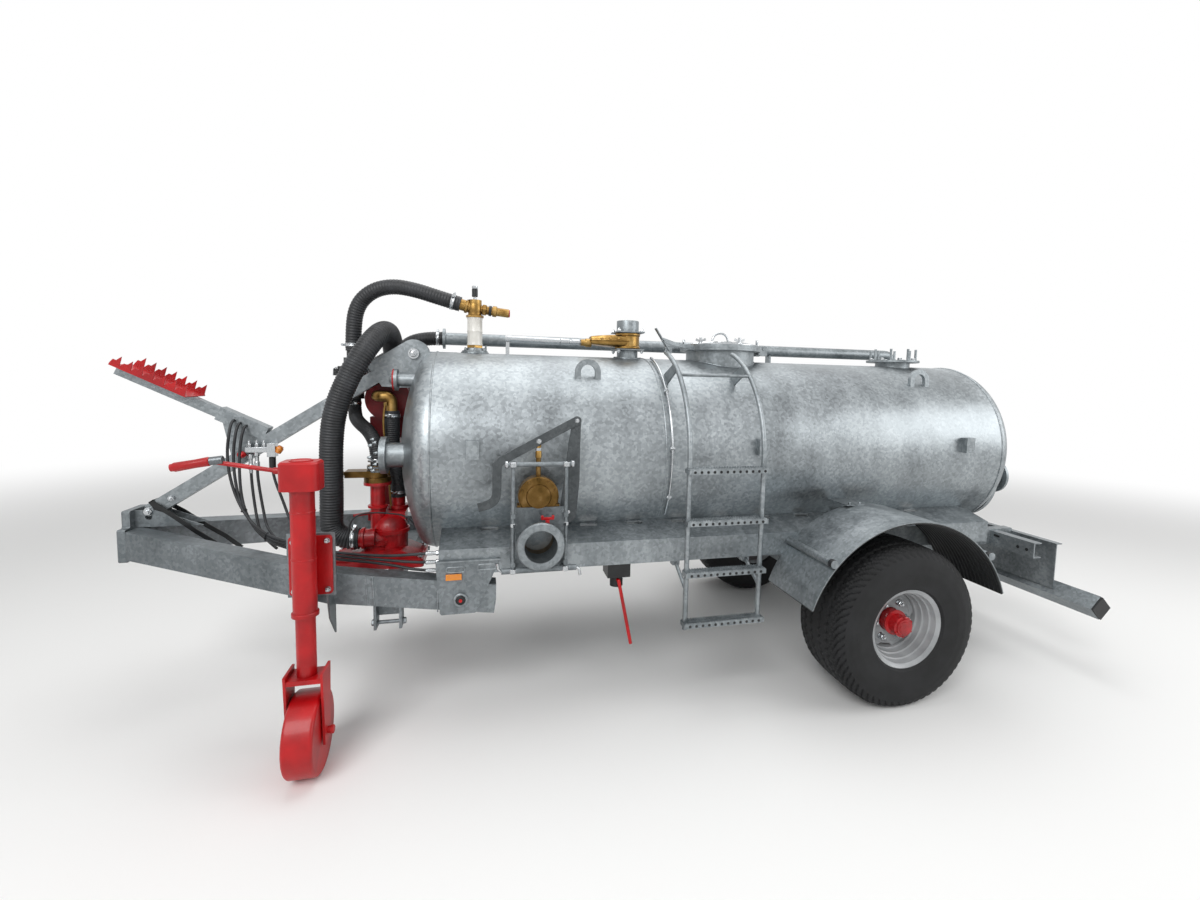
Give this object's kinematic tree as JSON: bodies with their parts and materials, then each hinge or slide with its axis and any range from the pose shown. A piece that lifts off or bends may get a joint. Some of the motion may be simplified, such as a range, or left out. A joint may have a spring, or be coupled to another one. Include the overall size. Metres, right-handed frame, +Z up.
{
  "type": "vacuum tanker trailer",
  "caption": "Single-axle galvanised vacuum tanker trailer with a round tank, V drawbar, support jack, side ladder, top manhole and rear door.",
  "frame": {"origin": "on the ground, under the middle of the whole trailer; the axle lies 1.228 m behind it", "axes": "+X forward to the hitch, +Y to the left-hand side, +Z up"},
  "size_m": [5.3968, 2.08, 2.2315],
  "materials": {
    "black_paint": "black, satin",
    "black_plastic": "black, moulded",
    "black_rubber": "black, ribbed",
    "brass": "cast brass, dull",
    "bright_zinc": "bright zinc plated",
    "clear_plastic": "clear and white, glossy",
    "dark_red_paint": "dark red, semi-gloss",
    "galvanised": "hot-dip galvanised, dull",
    "red_paint": "red, semi-gloss",
    "red_paint_leg": "red, semi-gloss",
    "silver_paint": "silver, satin",
    "tyre_rubber": "black rubber"
  },
  "bodies": {
    "chassis": {"air_hose": "black_rubber", "arch_hose": "black_rubber", "axle": "galvanised", "bar_caps": "black_plastic", "compressor": "dark_red_paint", "cross_members": "galvanised", "delivery_elbow": "brass", "drain_lever": "red_paint", "drain_valve": "black_paint", "drawbar_beam_left": "galvanised", "drawbar_beam_right": "galvanised", "front_stubs": "galvanised", "gusset_left": "galvanised", "gusset_right": "galvanised", "hitch_flange": "galvanised", "hose_arm": "galvanised", "hose_comb": "red_paint", "hydraulic_hoses": "black_rubber", "jack_console": "galvanised", "jack_tube": "red_paint", "ladder": "galvanised", "lamp_bar": "galvanised", "manhole_neck": "galvanised", "moisture_trap": "black_plastic", "mudguard_left": "galvanised", "mudguard_right": "galvanised", "pump": "red_paint", "pump_hoses": "black_rubber", "rear_collar": "galvanised", "rear_frame": "galvanised", "relief_tee": "bright_zinc", "riser_valve": "brass", "saddles": "galvanised", "side_coupling": "galvanised", "side_lever": "bright_zinc", "side_pipe": "galvanised", "side_valve": "brass", "sight_glass": "clear_plastic", "sill_left": "galvanised", "sill_right": "galvanised", "stay": "galvanised", "stay_ears": "galvanised", "stud_flange": "galvanised", "suction_hose": "black_rubber", "tank": "galvanised", "tank_fittings": "galvanised", "top_cylinder": "bright_zinc", "top_pipe": "galvanised", "top_valve": "brass", "underrun_bar": "galvanised"},
    "wheel_left": {"tyre_left": "tyre_rubber", "rim_left": "silver_paint", "hub_left": "red_paint"},
    "wheel_right": {"tyre_right": "tyre_rubber", "rim_right": "silver_paint", "hub_right": "red_paint"},
    "jack_leg": {"jack_leg": "red_paint_leg"},
    "jack_wheel": {"jack_wheel": "red_paint"},
    "manhole_lid": {"manhole_lid": "bright_zinc"},
    "rear_door": {"rear_door": "galvanised"}
  },
  "joints": [
    {"name": "wheel_left_turn", "type": "hinge", "parent": "chassis", "child": "wheel_left", "pos_m": [-1.228, 0.83, 0.437], "axis": [0, 1, 0], "continuous": true},
    {"name": "wheel_right_turn", "type": "hinge", "parent": "chassis", "child": "wheel_right", "pos_m": [-1.228, -0.83, 0.437], "axis": [0, 1, 0], "continuous": true},
    {"name": "jack_slide", "type": "slide", "parent": "chassis", "child": "jack_leg", "axis": [0, 0, 1], "range_m": [-0.1, 0.18]},
    {"name": "jack_wheel_turn", "type": "hinge", "parent": "jack_leg", "child": "jack_wheel", "pos_m": [1.634, 0.818, 0.172], "axis": [1, 0, 0], "continuous": true},
    {"name": "manhole_lid_hinge", "type": "hinge", "parent": "chassis", "child": "manhole_lid", "pos_m": [-0.846, 0, 1.918], "axis": [0, -1, 0], "range_deg": [0, 100]},
    {"name": "rear_door_hinge", "type": "hinge", "parent": "chassis", "child": "rear_door", "pos_m": [-2.54626, -0.326, 1.06], "axis": [0, 0, 1], "range_deg": [0, 110]}
  ]
}
